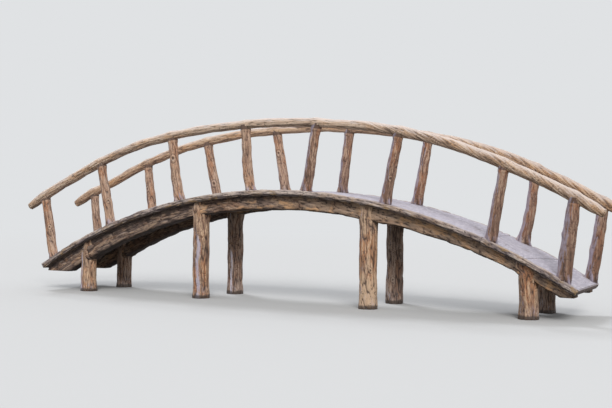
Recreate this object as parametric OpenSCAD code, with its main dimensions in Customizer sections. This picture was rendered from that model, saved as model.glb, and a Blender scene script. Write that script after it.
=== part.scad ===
// Arched garden footbridge of stained cement, modelled in the likeness of logs.
// Millimetres. The origin is at water level, under the middle of the arch; +X runs along
// the bridge, +Y across it and +Z up. The deck, its bearers and both handrails are arcs
// about one axis, which lies below the water and runs across the bridge.

/* [Arch] */
// Length of the deck from tip to tip, measured level
deck_span = 7400; // [6800:10:7800]
// Height of the middle of the deck above its tips
arch_rise = 1050; // [850:10:1200]
// Height of the deck's tips above the bank that they rest on
tip_height = 90; // [90:5:200]
// Height of the bank above the water
bank_height = 260; // [200:10:500]

/* [Deck] */
// Width of the deck across the bridge
deck_width = 1140; // [1100:10:1600]
// Thickness of the cement deck
deck_thickness = 70; // [50:1:90]
// Radius of the deck's worn edges
nosing_radius = 16; // [5:1:16]
// Distance of the deck's two cross joints from the middle of the bridge
deck_joint_x = 2650; // [2000:10:2950]
// Width of a cross joint
deck_joint_gap = 6; // [2:1:20]

/* [Bearers] */
// Depth of the bearers at the left bank and at the outer posts on the left
left_bearer_depth = 220; // [120:5:240]
// Depth of the bearers between the inner posts
middle_bearer_depth = 168; // [120:2:240]
// Depth of the bearers at the outer posts on the right and at the right bank
right_bearer_depth = 120; // [110:5:240]
// Width of an arched bearer
bearer_width = 180; // [120:5:185]
// Radius of a bearer's lower edges
bearer_edge = 30; // [5:1:50]
// Distance that a bearer's end stays back from the tip of the deck
bearer_setback = 60; // [20:5:200]

/* [Posts] */
// Distance of a post's centre line from the edge of the deck
post_inset = 180; // [130:5:260]
// Distance of the inner front post on the left from the middle of the bridge
front_left_post_x = 1150; // [900:10:1600]
// Distance of the inner front post on the right from the middle of the bridge
front_right_post_x = 1210; // [900:10:1600]
// Distance of the inner back post on the left from the middle of the bridge
back_left_post_x = 1110; // [900:10:1600]
// Distance of the inner back post on the right from the middle of the bridge
back_right_post_x = 1230; // [900:10:1600]
// Distance of the outer posts on the left from the tip of the deck
left_post_setback = 710; // [500:10:900]
// Distance of the outer posts on the right from the tip of the deck
right_post_setback = 570; // [500:10:900]
// Diameter of a post half way up
post_diameter = 205; // [190:1:240]
// Diameter of a post at the water
post_foot_diameter = 226; // [200:1:280]
// Diameter of a post under the deck
post_head_diameter = 238; // [206:1:260]
// Height of the swelling at a post's foot
post_foot_flare = 160; // [60:5:200]
// Height of the swelling at a post's head
post_head_flare = 230; // [60:5:260]

/* [Handrails] */
// Height of the handrail's centre line above the deck, square to both
rail_height = 830; // [750:10:1000]
// Diameter of a handrail
rail_diameter = 116; // [90:1:120]
// Distance that a handrail's tips reach past the tips of the deck, measured level
rail_overhang = 255; // [200:5:400]
// Distance of a handrail's centre line from the edge of the deck
rail_inset = 86; // [86:1:150]
// Diameter of the knuckle where a baluster meets the handrail
knuckle_diameter = 132; // [126:1:150]
// Diameter of the blunt, rounded tip of a handrail
rail_tip_diameter = 124; // [122:1:140]

/* [Balusters] */
// Distances from the middle of the inner three front balusters on the left
front_left_balusters = [360, 1430, 2550]; // [300:10:3300]
// Distances from the middle of the inner three front balusters on the right
front_right_balusters = [420, 1460, 2730]; // [300:10:3300]
// Distances from the middle of the inner three back balusters on the left
back_left_balusters = [390, 1450, 2550]; // [300:10:3300]
// Distances from the middle of the inner three back balusters on the right
back_right_balusters = [450, 1480, 2830]; // [300:10:3300]
// Distance of the last front baluster on the left from the tip of the deck
front_left_setback = 160; // [80:5:300]
// Distance of the last front baluster on the right from the tip of the deck
front_right_setback = 165; // [80:5:300]
// Distance of the last back baluster on the left from the tip of the deck
back_left_setback = 170; // [80:5:300]
// Distance of the last back baluster on the right from the tip of the deck
back_right_setback = 80; // [80:5:300]
// Angles in degrees by which the front balusters on the left lean out, innermost first
front_left_angles = [6, 8.5, 11.5, 11]; // [0:0.5:15]
// Angles in degrees by which the front balusters on the right lean out, innermost first
front_right_angles = [9.5, 11, 9.5, 6.5]; // [0:0.5:15]
// Angles in degrees by which the back balusters on the left lean out, innermost first
back_left_angles = [10, 12.5, 7, 6.5]; // [0:0.5:15]
// Angles in degrees by which the back balusters on the right lean out, innermost first
back_right_angles = [6.5, 10, 9.5, 8.5]; // [0:0.5:15]
// Diameter of a baluster just above its foot
baluster_diameter = 108; // [95:1:118]
// Diameter of a baluster just below the handrail
baluster_neck_diameter = 92; // [80:1:108]
// Diameter of a baluster's spreading foot
baluster_foot_diameter = 140; // [120:1:150]
// Height of the swelling at a baluster's foot
baluster_foot_flare = 170; // [60:5:200]
// Diameter of the widest root, at the foot of one back baluster
wide_root_diameter = 220; // [150:5:260]
// Height of the swelling above the widest root
wide_root_flare = 220; // [100:5:300]
// Place of the widest root among the back balusters, counted from the left
wide_root_place = 7; // [1:1:8]
// Height of the swelling at a baluster's head
baluster_head_flare = 60; // [30:5:120]

/* [Hidden] */
// Colours of the pieces
deck_colour = [0.56, 0.53, 0.52];
bearer_colour = [0.36, 0.25, 0.17];
post_colour = [0.44, 0.30, 0.19];
baluster_colour = [0.55, 0.38, 0.26];
rail_colour = [0.64, 0.52, 0.38];

// Facets round the logs and along the arcs
log_facets = 32;
arc_facets = 360;
// Straight steps in one swelling of a log
flare_steps = 5;
// Depth to which a log's blank starts below the surface that it is cut to
blank_sink = 70;
// Cement bed between a baluster and the curved pieces that it is cut to
bedding = 0.4;
// Angle by which the handrail's bent log runs on inside its rounded tip
tip_lap = 0.08;
// Angle by which a bearer's bent blank runs on past a cut
blank_lap = 2;

// Distance of the deck's tips from the middle of the bridge
tip_x = deck_span / 2;

// The arcs' shared axis, and the radius of each arc about it
deck_radius = (pow(tip_x, 2) + pow(arch_rise, 2)) / (2 * arch_rise);
crown_height = bank_height + tip_height + arch_rise;
axis_height = crown_height - deck_radius;
soffit_radius = deck_radius - deck_thickness;
rail_radius = deck_radius + rail_height;

// Angles from the vertical at which the arcs end
deck_end_angle = asin(tip_x / deck_radius);
rail_end_angle = asin((tip_x + rail_overhang - rail_tip_diameter / 2) / rail_radius);

// Rows of posts and handrails across the bridge
post_y = deck_width / 2 - post_inset;
rail_y = deck_width / 2 - rail_inset;

// Stations along the bridge, from left to right
left_post_x = left_post_setback - tip_x;
right_post_x = tip_x - right_post_setback;
front_post_x = [left_post_x, -front_left_post_x, front_right_post_x, right_post_x];
back_post_x = [left_post_x, -back_left_post_x, back_right_post_x, right_post_x];
front_x = left_to_right(
    concat(front_left_balusters, tip_x - front_left_setback),
    concat(front_right_balusters, tip_x - front_right_setback)
);
back_x = left_to_right(
    concat(back_left_balusters, tip_x - back_left_setback),
    concat(back_right_balusters, tip_x - back_right_setback)
);
front_angles = left_to_right(front_left_angles, front_right_angles);
back_angles = left_to_right(back_left_angles, back_right_angles);
post_count = len(front_post_x);
bearer_count = post_count + 1;
baluster_count = len(front_x);

// Depths of the bearers at the left bank, at each post and at the right bank
bearer_depths = [
    left_bearer_depth, left_bearer_depth,
    middle_bearer_depth, middle_bearer_depth,
    right_bearer_depth, right_bearer_depth
];

// Distance from a post's centre line at which a bearer's blank starts, just inside the post
bearer_seat = 0.9 * sqrt(pow(post_diameter / 2, 2) - pow(bearer_width / 2, 2));

FRONT = -1;
BACK = 1;

// One row from its left end to its right end, from two lists that both start at the middle.
// What lies or leans to the left is negative.
function left_to_right(left, right) = concat([for (i = [len(left) - 1:-1:0]) -left[i]], right);

// Height of an arc of radius r above the water at the distance x from the middle
function arc_height(r, x) = axis_height + sqrt(r * r - x * x);

// Angle from the vertical of a point on the deck at the distance x from the middle
function deck_angle(x) = asin(x / deck_radius);

// Length of a baluster from the deck to the handrail's centre line, along its own lean
function baluster_length(x, lean) =
    let (along = deck_radius * cos(deck_angle(x) - lean))
    sqrt(along * along + rail_radius * rail_radius - deck_radius * deck_radius) - along;

// Radius in a swelling that fades from r_end to r_body as t goes from 0 to 1
function swell(r_end, r_body, t) = r_body + (r_end - r_body) * pow(1 - t, 2);

// A sector that holds all between two angles, out past the handrails
module arch_sector(from, to) {
    polygon([[0, 0], for (a = [from, (from + to) / 2, to]) 2 * rail_radius * [sin(a), cos(a)]]);
}

// Sweeps a profile round the arch's axis. The profile's x is its distance from that axis
// and its y runs across the bridge. Angles are from the vertical, positive to the right.
// An arc over the crown is cut from a whole ring, so that its highest point is true.
module arch_sweep(from, to) {
    translate([0, 0, axis_height])
        rotate([90, 0, 0])
            if (from < 0 && to > 0)
                intersection() {
                    rotate_extrude($fn = arc_facets) children();
                    translate([0, 0, -deck_width])
                        linear_extrude(height = 2 * deck_width)
                            arch_sector(from, to);
                }
            else
                rotate([0, 0, 90 - to])
                    rotate_extrude(angle = to - from, $fn = arc_facets)
                        children();
}

// A solid log standing on the origin, with a swelling at its foot and one at its head. The
// log's blank runs on below the foot by sink and above the head by over.
module turned_log(length, foot_d, body_d, neck_d, head_d, foot_flare, head_flare, sink, over) {
    steps = [for (i = [0:flare_steps]) i / flare_steps];
    foot = [for (t = steps) [swell(foot_d / 2, body_d / 2, t), foot_flare * t]];
    head = [for (t = steps) [swell(head_d / 2, neck_d / 2, 1 - t), length - head_flare * (1 - t)]];
    rotate_extrude($fn = log_facets)
        polygon(concat(
            sink > 0 ? [[0, -sink], [foot_d / 2, -sink]] : [[0, 0]],
            foot,
            head,
            over > 0 ? [[head_d / 2, length + over], [0, length + over]] : [[0, length]]
        ));
}

// The deck's cross section: a flat slab with worn, rounded edges
module deck_profile() {
    inner = deck_width / 2 - nosing_radius;
    translate([soffit_radius, -inner])
        square([deck_thickness, 2 * inner]);
    translate([soffit_radius + nosing_radius, -deck_width / 2])
        square([deck_thickness - 2 * nosing_radius, deck_width]);
    for (r = [soffit_radius + nosing_radius, deck_radius - nosing_radius], y = [-inner, inner])
        translate([r, y])
            circle(r = nosing_radius, $fn = log_facets);
}

module deck_slab() {
    joint_angle = asin((deck_joint_x - deck_joint_gap / 2) / deck_radius);
    color(deck_colour)
        arch_sweep(-joint_angle, joint_angle) deck_profile();
}

module deck_end(side) {
    joint_angle = asin((deck_joint_x + deck_joint_gap / 2) / deck_radius);
    color(deck_colour)
        if (side < 0)
            arch_sweep(-deck_end_angle, -joint_angle) deck_profile();
        else
            arch_sweep(joint_angle, deck_end_angle) deck_profile();
}

// The blank of a post at x, which stands on the water level and runs up into the deck
module post_blank(x) {
    translate([x, 0, 0])
        turned_log(arc_height(soffit_radius, x), post_foot_diameter, post_diameter,
            post_diameter, post_head_diameter, post_foot_flare, post_head_flare,
            0, post_head_diameter / 2);
}

// One post, cut flat at the water and to the deck's underside at its head
module post(row, i) {
    x = row == FRONT ? front_post_x[i] : back_post_x[i];
    angle = asin(x / soffit_radius);
    cut = asin(post_head_diameter / soffit_radius);
    color(post_colour)
        translate([0, row * post_y, 0])
            difference() {
                post_blank(x);
                arch_sweep(angle - cut, angle + cut)
                    translate([soffit_radius, -post_head_diameter])
                        square([post_head_diameter, 2 * post_head_diameter]);
            }
}

// A bearer's cross section: a squared log with rounded lower edges, whose bottom lies at the
// radius bottom. Its top runs on above the soffit.
module bearer_profile(bottom) {
    inner = bearer_width / 2 - bearer_edge;
    top = soffit_radius + deck_thickness;
    translate([bottom, -inner])
        square([top - bottom, 2 * inner]);
    translate([bottom + bearer_edge, -bearer_width / 2])
        square([top - bottom - bearer_edge, bearer_width]);
    for (y = [-inner, inner])
        translate([bottom + bearer_edge, y])
            circle(r = bearer_edge, $fn = log_facets);
}

// The blank of a bearer, with a depth at each end. Its top lies along the soffit, and the
// centre of its lower arc is shifted along the bearer, so that it tapers. The upper arc
// stops at its higher end and the lower arc at its lower end, so that these corners are
// true. The other ends run on past the cuts.
module bearer_blank(from_x, to_x, from_depth, to_depth) {
    from = asin(from_x / soffit_radius);
    to = asin(to_x / soffit_radius);
    middle = (from + to) / 2;
    bottom = soffit_radius - (from_depth + to_depth) / 2;
    shift = (from_depth - to_depth) / (2 * sin((to - from) / 2));
    shift_x = shift * cos(middle);
    lower_from = from_x < 0 ? asin((from_x - shift_x) / bottom) : from - blank_lap;
    lower_to = to_x > 0 ? asin((to_x - shift_x) / bottom) : to + blank_lap;
    upper_from = from_x < 0 ? from - blank_lap : from;
    upper_to = to_x > 0 ? to + blank_lap : to;
    intersection() {
        translate([shift_x, 0, -shift * sin(middle)])
            arch_sweep(lower_from, lower_to) bearer_profile(bottom);
        arch_sweep(upper_from, upper_to)
            translate([soffit_radius - 2 * bearer_width, -bearer_width])
                square(2 * bearer_width);
    }
}

// One length of arched bearer, butted against the posts at its ends. The outermost
// lengths run down to the bank, and are cut level where they rest on it.
module bearer(row, i) {
    posts = row == FRONT ? front_post_x : back_post_x;
    first = i == 0;
    last = i == post_count;
    from_x = first ? bearer_setback - tip_x : posts[i - 1] + bearer_seat;
    to_x = last ? tip_x - bearer_setback : posts[i] - bearer_seat;
    floor_z = first || last ? bank_height : 0;
    color(bearer_colour)
        translate([0, row * post_y, 0])
            difference() {
                intersection() {
                    bearer_blank(from_x, to_x, bearer_depths[i], bearer_depths[i + 1]);
                    translate([from_x, -bearer_width, floor_z])
                        cube([to_x - from_x, 2 * bearer_width, crown_height]);
                }
                if (!first) post_blank(posts[i - 1]);
                if (!last) post_blank(posts[i]);
            }
}

// Angle from the vertical at which a baluster's axis meets the handrail's centre line
function head_angle(x, lean) = asin((x + baluster_length(x, lean) * sin(lean)) / rail_radius);

// A rounded lump on the handrail's centre line at the angle a, with its poles along the rail
module rail_ball(a, diameter) {
    translate([rail_radius * sin(a), 0, axis_height + rail_radius * cos(a)])
        rotate([0, 90 + a, 0])
            sphere(d = diameter, $fn = log_facets);
}

// One arched handrail: a bent log with a knuckle over each baluster and blunt tips
module handrail_solid(stations, leans) {
    arch_sweep(-rail_end_angle - tip_lap, rail_end_angle + tip_lap)
        translate([rail_radius, 0])
            circle(d = rail_diameter, $fn = log_facets);
    for (a = [-rail_end_angle, rail_end_angle])
        rail_ball(a, rail_tip_diameter);
    for (i = [0:baluster_count - 1])
        rail_ball(head_angle(stations[i], leans[i]), knuckle_diameter);
}

module handrail(row) {
    color(rail_colour)
        translate([0, row * rail_y, 0])
            if (row == FRONT)
                handrail_solid(front_x, front_angles);
            else
                handrail_solid(back_x, back_angles);
}

// One baluster: a leaning log, bedded on the deck at its foot and coped round the handrail
// and its knuckle at the head. A root that spreads past the deck's edge is cut off there.
module baluster(row, i) {
    x = row == FRONT ? front_x[i] : back_x[i];
    lean = row == FRONT ? front_angles[i] : back_angles[i];
    wide = row == BACK && i == wide_root_place - 1;
    root_diameter = wide ? wide_root_diameter : baluster_foot_diameter;
    root_flare = wide ? wide_root_flare : baluster_foot_flare;
    foot_z = arc_height(deck_radius, x);
    head = head_angle(x, lean);
    clear = 2 * root_diameter;
    color(baluster_colour)
        translate([0, row * rail_y, 0])
            difference() {
                translate([x, 0, foot_z])
                    rotate([0, lean, 0])
                        turned_log(baluster_length(x, lean), root_diameter,
                            baluster_diameter, baluster_neck_diameter, baluster_diameter,
                            root_flare, baluster_head_flare + rail_diameter / 2,
                            blank_sink, 0);
                translate([x, 0, foot_z])
                    rotate([0, deck_angle(x), 0])
                        translate([-clear / 2, -clear / 2, -clear])
                            cube(clear);
                if (root_diameter > 2 * rail_inset)
                    translate([x, row * (rail_inset + clear / 2), foot_z])
                        cube(clear, center = true);
                translate([rail_radius * sin(head), 0, axis_height + rail_radius * cos(head)])
                    rotate([0, 90 + head, 0])
                        cylinder(d = rail_diameter + 2 * bedding, h = clear, center = true, $fn = log_facets);
                rail_ball(head, knuckle_diameter + 2 * bedding);
            }
}

deck_slab();
deck_end(-1);  // deck_end_left
deck_end(1);  // deck_end_right
for (i = [0:bearer_count - 1]) {
    bearer(FRONT, i);
    bearer(BACK, i);
}
for (i = [0:post_count - 1]) {
    post(FRONT, i);
    post(BACK, i);
}
for (i = [0:baluster_count - 1]) {
    baluster(FRONT, i);
    baluster(BACK, i);
}
handrail(FRONT);  // front_handrail
handrail(BACK);  // back_handrail
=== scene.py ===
# %% [markdown]
# An arched garden footbridge. Every log, plank and post of the real bridge is cement that
# a mason modelled and stained to pass for wood. The CAD model gives each piece its true
# size and place. This script gives each one its bark, wear and colour, one piece at a
# time, and sets the finished bridge on a pale floor under soft light.

import math
import random
from dataclasses import dataclass

import bmesh
import bpy
from mathutils import Matrix, Vector, noise


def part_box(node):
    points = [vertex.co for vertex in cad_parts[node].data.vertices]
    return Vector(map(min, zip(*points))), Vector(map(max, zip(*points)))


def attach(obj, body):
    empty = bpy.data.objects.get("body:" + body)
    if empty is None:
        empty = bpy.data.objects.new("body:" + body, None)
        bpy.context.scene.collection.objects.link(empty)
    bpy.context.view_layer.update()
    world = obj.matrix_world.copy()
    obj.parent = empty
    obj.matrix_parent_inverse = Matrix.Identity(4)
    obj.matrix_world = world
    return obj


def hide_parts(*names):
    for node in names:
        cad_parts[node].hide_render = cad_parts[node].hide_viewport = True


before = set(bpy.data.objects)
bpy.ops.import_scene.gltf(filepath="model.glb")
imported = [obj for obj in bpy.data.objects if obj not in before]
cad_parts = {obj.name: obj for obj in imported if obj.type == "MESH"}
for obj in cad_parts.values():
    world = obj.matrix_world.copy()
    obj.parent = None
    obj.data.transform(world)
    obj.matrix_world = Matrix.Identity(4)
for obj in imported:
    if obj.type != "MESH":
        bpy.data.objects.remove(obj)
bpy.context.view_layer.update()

# %% [markdown]
# The deck, its bearers and both handrails are arcs about one line that runs across the
# bridge, far below it. Four sizes are enough to place every arc, and the frame gives the
# heights. A helper turns an angle from the vertical and a distance from that line into a
# point, so that each bent piece can be made straight first and bent at the end. A log that
# is laid by hand doesn't keep to a true arc: the photograph shows where each handrail lies
# a few centimetres over its own.

# %% The arch
ROWS = ("front", "back")
DECK_SPAN = 7.4
ARCH_RISE = 1.05
DECK_THICKNESS = 0.07
RAIL_WIDTH = 0.116

DECK_RADIUS = ((DECK_SPAN / 2) ** 2 + ARCH_RISE ** 2) / (2 * ARCH_RISE)
AXIS_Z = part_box("deck_slab")[1].z - DECK_RADIUS
SOFFIT_RADIUS = DECK_RADIUS - DECK_THICKNESS
RAIL_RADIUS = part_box("front_handrail")[1].z - RAIL_WIDTH / 2 - AXIS_Z
# The height of the flat seats at both ends of the bridge
END_SEAT_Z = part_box("front_bearer_1")[0].z
# How far each handrail lies over its arc, at distances along it from the middle
RAIL_WAVER = {
    "front": [(-3.3, 0.0), (-2.6, 0.026), (-2.1, 0.038), (-1.6, 0.026), (-1.2, 0.014), (-0.6, 0.0),
              (0.6, 0.0), (1.3, 0.022), (2.2, 0.026), (2.7, 0.014), (3.2, 0.0)],
    "back": [(-3.9, 0.032), (-3.4, 0.0), (-2.6, 0.02), (-2.0, 0.032), (-1.2, 0.018), (-0.5, 0.0),
             (0.9, 0.004), (1.6, 0.026), (2.2, 0.042), (2.7, 0.042), (3.2, 0.026), (3.8, 0.012)],
}


def arc_point(angle, radius, y):
    return Vector((radius * math.sin(angle), y, AXIS_Z + radius * math.cos(angle)))


def tangent_plane(x, radius):
    """A point on an arc at the distance x from the middle, and the arc's outward normal there."""
    angle = math.asin(x / radius)
    return arc_point(angle, radius, 0.0), Vector((math.sin(angle), 0.0, math.cos(angle)))


print("radius of the deck %.3f m, of the handrails %.3f m" % (DECK_RADIUS, RAIL_RADIUS))

# %% [markdown]
# Modelled bark has three scales: slow swellings, long furrows that wander and meet, and a
# fine grain between them. Sculpting every log by hand would take days, so a rule makes
# the relief: a noise field stretched along the log, whose zero line is the middle of a
# furrow. That line never ends suddenly, which is how real furrows run. The helpers here
# shape that field, and every piece further down uses them. One kind of Blender's noise,
# noise_vector, takes its seed from the clock when none is set, and would move the furrows
# in each run. So the seed is fixed first.

# %% Noise and soft steps
NOISE_SEED = 1795669539
noise.seed_set(NOISE_SEED)


def smooth(low, high, x):
    """0 at low and before it, 1 at high and beyond it, and an eased slope between."""
    t = min(1.0, max(0.0, (x - low) / (high - low)))
    return t * t * (3 - 2 * t)


def bell(away, width):
    """A rounded bump: 1 in its middle, and nearly 0 from twice its width on."""
    return math.exp(-(away / width) ** 2)


def wave(point, size):
    return noise.noise(point / size, noise_basis="BLENDER")


def off_line(point, spacing, stretch):
    """How far a point lies from the nearest wandering line: 0 on it, about 0.5 between two."""
    cell = Vector((point.x / spacing, point.y / spacing, point.z / (spacing * stretch)))
    return abs(noise.noise(cell, noise_basis="BLENDER"))


def near_line(point, spacing, stretch, width):
    """1 on a wandering line, and 0 where off_line gives the width or more."""
    return max(0.0, 1.0 - off_line(point, spacing, stretch) / width)


def seed_offset(name):
    """Where a piece's bark lies in the noise field, so that no two logs look alike."""
    dice = random.Random(name)
    return Vector([dice.uniform(20, 60) for _ in range(3)])


# %% [markdown]
# Far from the zero line lies the crest of a plate of bark, and here and there a plate is
# broken across. Fine cracks run between the furrows at less than half their spacing. Each
# kind of log has its own sizes for all this, and shares the rule.

# %% Bark relief
@dataclass
class Bark:
    """One kind of bark, in metres. Its plates are stretched along the log."""
    lump: float
    lump_size: float
    furrow: float
    spacing: float
    plate: float
    fine: float
    stretch: float


FINE_SHIFT, BREAK_SHIFT = Vector((3, 5, 7)), Vector((11, 2, 5))
# How far the furrows sway from a straight run, and over what length
SWAY, SWAY_LENGTH = 0.012, 0.25
# As off_line gives them: half the width of a furrow, a fine crack and a break, and where a
# crest starts and is full
FURROW_WIDTH, FINE_WIDTH, BREAK_WIDTH = 0.16, 0.2, 0.12
CREST_START, CREST_FULL = 0.1, 0.38
# The spacing of fine cracks and of breaks, as shares of that of furrows, and a break's stretch
FINE_SHARE, BREAK_SHARE, BREAK_STRETCH = 0.42, 1.6, 0.45
# The size of the stretches with broken plates, and the noise at which they start and are full
BROKEN_SIZE, BROKEN_START, BROKEN_FULL = 0.13, 0.05, 0.3


def bark_relief(bark, point):
    """The bark's height over a plain log, how deep in a furrow a point is, and how near a crest."""
    swayed = point + noise.noise_vector(point / SWAY_LENGTH) * SWAY
    ridge = off_line(swayed, bark.spacing, bark.stretch)
    deep = max(0.0, 1.0 - ridge / FURROW_WIDTH) ** 1.3
    crest = smooth(CREST_START, CREST_FULL, ridge)
    shallow = near_line(swayed + FINE_SHIFT, bark.spacing * FINE_SHARE, bark.stretch, FINE_WIDTH) ** 1.5
    torn = smooth(BROKEN_START, BROKEN_FULL, wave(point + BREAK_SHIFT, BROKEN_SIZE))
    if torn > 0:
        torn *= near_line(swayed + BREAK_SHIFT, bark.spacing * BREAK_SHARE, BREAK_STRETCH, BREAK_WIDTH)
    height = (bark.lump * wave(point, bark.lump_size) + bark.plate * crest - bark.furrow * deep
              - bark.fine * shallow - bark.plate * torn)
    return height, max(deep, 0.5 * shallow, 0.8 * torn), crest * (1 - 0.6 * shallow) * (1 - torn)


# %% [markdown]
# Besides its bark, a log has marks that the mason put in one place: a knot, a root, a run of
# lime. A Touch is what such a mark adds at one point. Its height moves the surface. The
# others are painted values that the finishes read: a groove is dark, and lime is lavender
# grey. A tone below 0 darkens the stain and one above 0 bleaches it. The relief itself
# paints one more value, the rib, which is high on the crests of the bark.

# %% Marks made by hand
PAINTED = ("groove", "rib", "tone", "lime")
# The parts of a knot, in sizes of the knot: how far out they lie, and how wide they are
KNOT_REACH, KNOT_HOLLOW = 2.5, 0.6
KNOT_RING_AT, KNOT_RING_WIDTH = 0.85, 0.3
KNOT_SEAM_AT, KNOT_SEAM_WIDTH = 1.5, 0.2
# How much shorter a distance along the log counts, which makes knots long ovals
KNOT_SQUEEZE = 0.75


@dataclass
class Touch:
    height: float = 0.0
    groove: float = 0.0
    tone: float = 0.0
    lime: float = 0.0


@dataclass
class Knot:
    """A knot round a log. Its angle is in degrees: 0 faces right and -90 faces front."""
    angle: float
    height: float
    size: float


def add_knot(touch, size, along, around):
    """Adds a knot, seen from a point at two distances from it: a pale ring round a dark hollow."""
    away = math.hypot(KNOT_SQUEEZE * along, around) / size
    if away < KNOT_REACH:
        ring = bell(away - KNOT_RING_AT, KNOT_RING_WIDTH)
        hollow = bell(away, KNOT_HOLLOW)
        seam = 0.7 * bell(away - KNOT_SEAM_AT, KNOT_SEAM_WIDTH)
        touch.height += size * (0.3 * ring - 0.35 * hollow)
        touch.groove = max(touch.groove, hollow, seam)
        touch.tone += 0.9 * ring


def add_knots(touch, knots, angle, s, radius):
    for knot in knots:
        around = math.remainder(angle - math.radians(knot.angle), math.tau) * radius
        add_knot(touch, knot.size, s - knot.height, around)


def new_layers(bm):
    """What the materials read: the straight coordinates, and one layer for each painted value."""
    grain = bm.verts.layers.float_vector.new("grain")
    return grain, [bm.verts.layers.float.new(label) for label in PAINTED]


def paint(v, layers, groove, rib, touch):
    """Writes the painted values of one vertex."""
    values = (max(groove, touch.groove), rib, touch.tone, touch.lime)
    for layer, value in zip(layers, values):
        v[layer] = min(1.0, max(-1.0, value))


# %% [markdown]
# Each log starts as a circle of vertices that is drawn out into a tube. Spinning with no
# angle extrudes it in long strides, and the edges that run along are then subdivided into
# rings about a centimetre apart. That is far quicker than a spin with a thousand steps,
# and it gives the same mesh. Each end is closed by one face.

# %% Straight blanks
STRIDE = 0.4


def close_holes(bm):
    bmesh.ops.holes_fill(bm, edges=[e for e in bm.edges if e.is_boundary])


def draw_along(bm, low, high, ring_gap):
    """Draws an outline along Z from low to high, in rings ring_gap apart, and closes its ends."""
    strides = max(1, round((high - low) / STRIDE))
    stride = (high - low) / strides
    bmesh.ops.translate(bm, verts=bm.verts[:], vec=(0, 0, low))
    bmesh.ops.spin(bm, geom=bm.verts[:] + bm.edges[:], cent=(0, 0, 0), axis=(0, 0, 1),
                   dvec=(0, 0, stride), angle=0, steps=strides)
    long_edges = [e for e in bm.edges if abs(e.verts[0].co.z - e.verts[1].co.z) > stride / 2]
    cuts = round(stride / ring_gap) - 1
    bmesh.ops.subdivide_edges(bm, edges=long_edges, cuts=cuts, use_grid_fill=True)
    close_holes(bm)
    bmesh.ops.recalc_face_normals(bm, faces=bm.faces[:])


def straight_tube(radius, low, high, ring_gap, segments):
    """A closed tube about the Z axis."""
    bm = bmesh.new()
    bmesh.ops.create_circle(bm, segments=segments, radius=radius)
    draw_along(bm, low, high, ring_gap)
    return bm


def carve_log(bm, name, bark, blank_radius, radius_at, dress, twist_at):
    """Gives a blank its taper, its bark and its marks, and keeps what the materials need."""
    grain, layers = new_layers(bm)
    offset = seed_offset(name)
    for v in bm.verts:
        angle, s = math.atan2(v.co.y, v.co.x), v.co.z
        radius = radius_at(s)
        turned = angle + twist_at(s)
        place = Vector((radius * math.cos(turned), radius * math.sin(turned), s)) + offset
        height, groove, rib = bark_relief(bark, place)
        touch = dress(angle, s)
        v[grain] = place
        paint(v, layers, groove, rib, touch)
        outward = Vector((v.co.x, v.co.y, 0)) / blank_radius
        v.co = outward * (radius + height + touch.height) + Vector((0, 0, s))


def trim(bm, point, normal):
    """Cuts away what lies beyond a plane and closes the cut."""
    geom = bm.verts[:] + bm.edges[:] + bm.faces[:]
    bmesh.ops.bisect_plane(bm, geom=geom, dist=1e-5, plane_co=point, plane_no=normal, clear_outer=True)
    close_holes(bm)


# %% [markdown]
# A finished mesh becomes an object that stands for one node of the CAD model. Two values are read off its
# surface first. One is how much each point faces the sky, which the finishes turn into paler tops and darker
# undersides: partly sun bleaching, and partly painted light and shade. The other is how much it faces left
# and up, where a lavender grey is painted that is partly lime and partly painted cool skylight.

# %% From a mesh to a piece
# The way that lime and the cool skylight come from: the left, and from above. The lavender grey on faces
# turned this way is partly lime and partly painted skylight
LIME_AND_SKYLIGHT_SIDE = Vector((-0.87, 0.0, 0.5))
# How far a surface has to face that way before the lavender grey starts, and where it is thickest
LIME_AND_SKYLIGHT_START, LIME_AND_SKYLIGHT_FULL = -0.25, 0.5


def mesh_object(bm, name):
    mesh = bpy.data.meshes.new(name)
    bm.to_mesh(mesh)
    bm.free()
    thing = bpy.data.objects.new(name, mesh)
    bpy.context.scene.collection.objects.link(thing)
    return thing


def keep_piece(bm, node, material, lime=0.0):
    """Turns a finished bmesh into the piece that stands for a CAD node."""
    assert bm.calc_volume(signed=True) > 0, node + " is inside out"
    sky = bm.verts.layers.float.new("sky")
    limed_and_skylit = bm.verts.layers.float["lime"]
    bm.normal_update()
    for v in bm.verts:
        # How much a point faces up: the finishes make it paler above, partly sun bleaching and partly
        # painted skylight, and darker below as painted shade
        v[sky] = v.normal.z
        # Lavender grey on faces turned left and up: partly lime, partly painted cool skylight
        side_tint = smooth(LIME_AND_SKYLIGHT_START, LIME_AND_SKYLIGHT_FULL, v.normal.dot(LIME_AND_SKYLIGHT_SIDE))
        v[limed_and_skylit] = max(v[limed_and_skylit], lime * side_tint)
    piece = mesh_object(bm, node + "_bark")
    piece.data.shade_smooth()
    piece.data.materials.append(bpy.data.materials[material])
    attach(piece, "root")
    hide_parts(node)


# %% [markdown]
# Where does each piece stand, and how thick is it? The CAD node knows. It is cut by a row of
# planes, and the rim of each cut gives a centre and two widths. A log that leans, bends or
# swells in the CAD model, or a bearer that tapers, then does so here too, with no number
# typed twice.

# %% Reading a piece from the frame
SLICE_COUNT = 9


def cut_rim(node, point, normal):
    """The lowest and the highest corner of the cut that a plane makes through a CAD node."""
    bm = bmesh.new()
    bm.from_mesh(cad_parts[node].data)
    cut = bmesh.ops.bisect_plane(bm, geom=bm.verts[:] + bm.edges[:] + bm.faces[:],
                                 plane_co=point, plane_no=normal)["geom_cut"]
    rim = [v.co.copy() for v in cut if isinstance(v, bmesh.types.BMVert)]
    bm.free()
    return (Vector([min(p[k] for p in rim) for k in range(3)]),
            Vector([max(p[k] for p in rim) for k in range(3)]))


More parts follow.
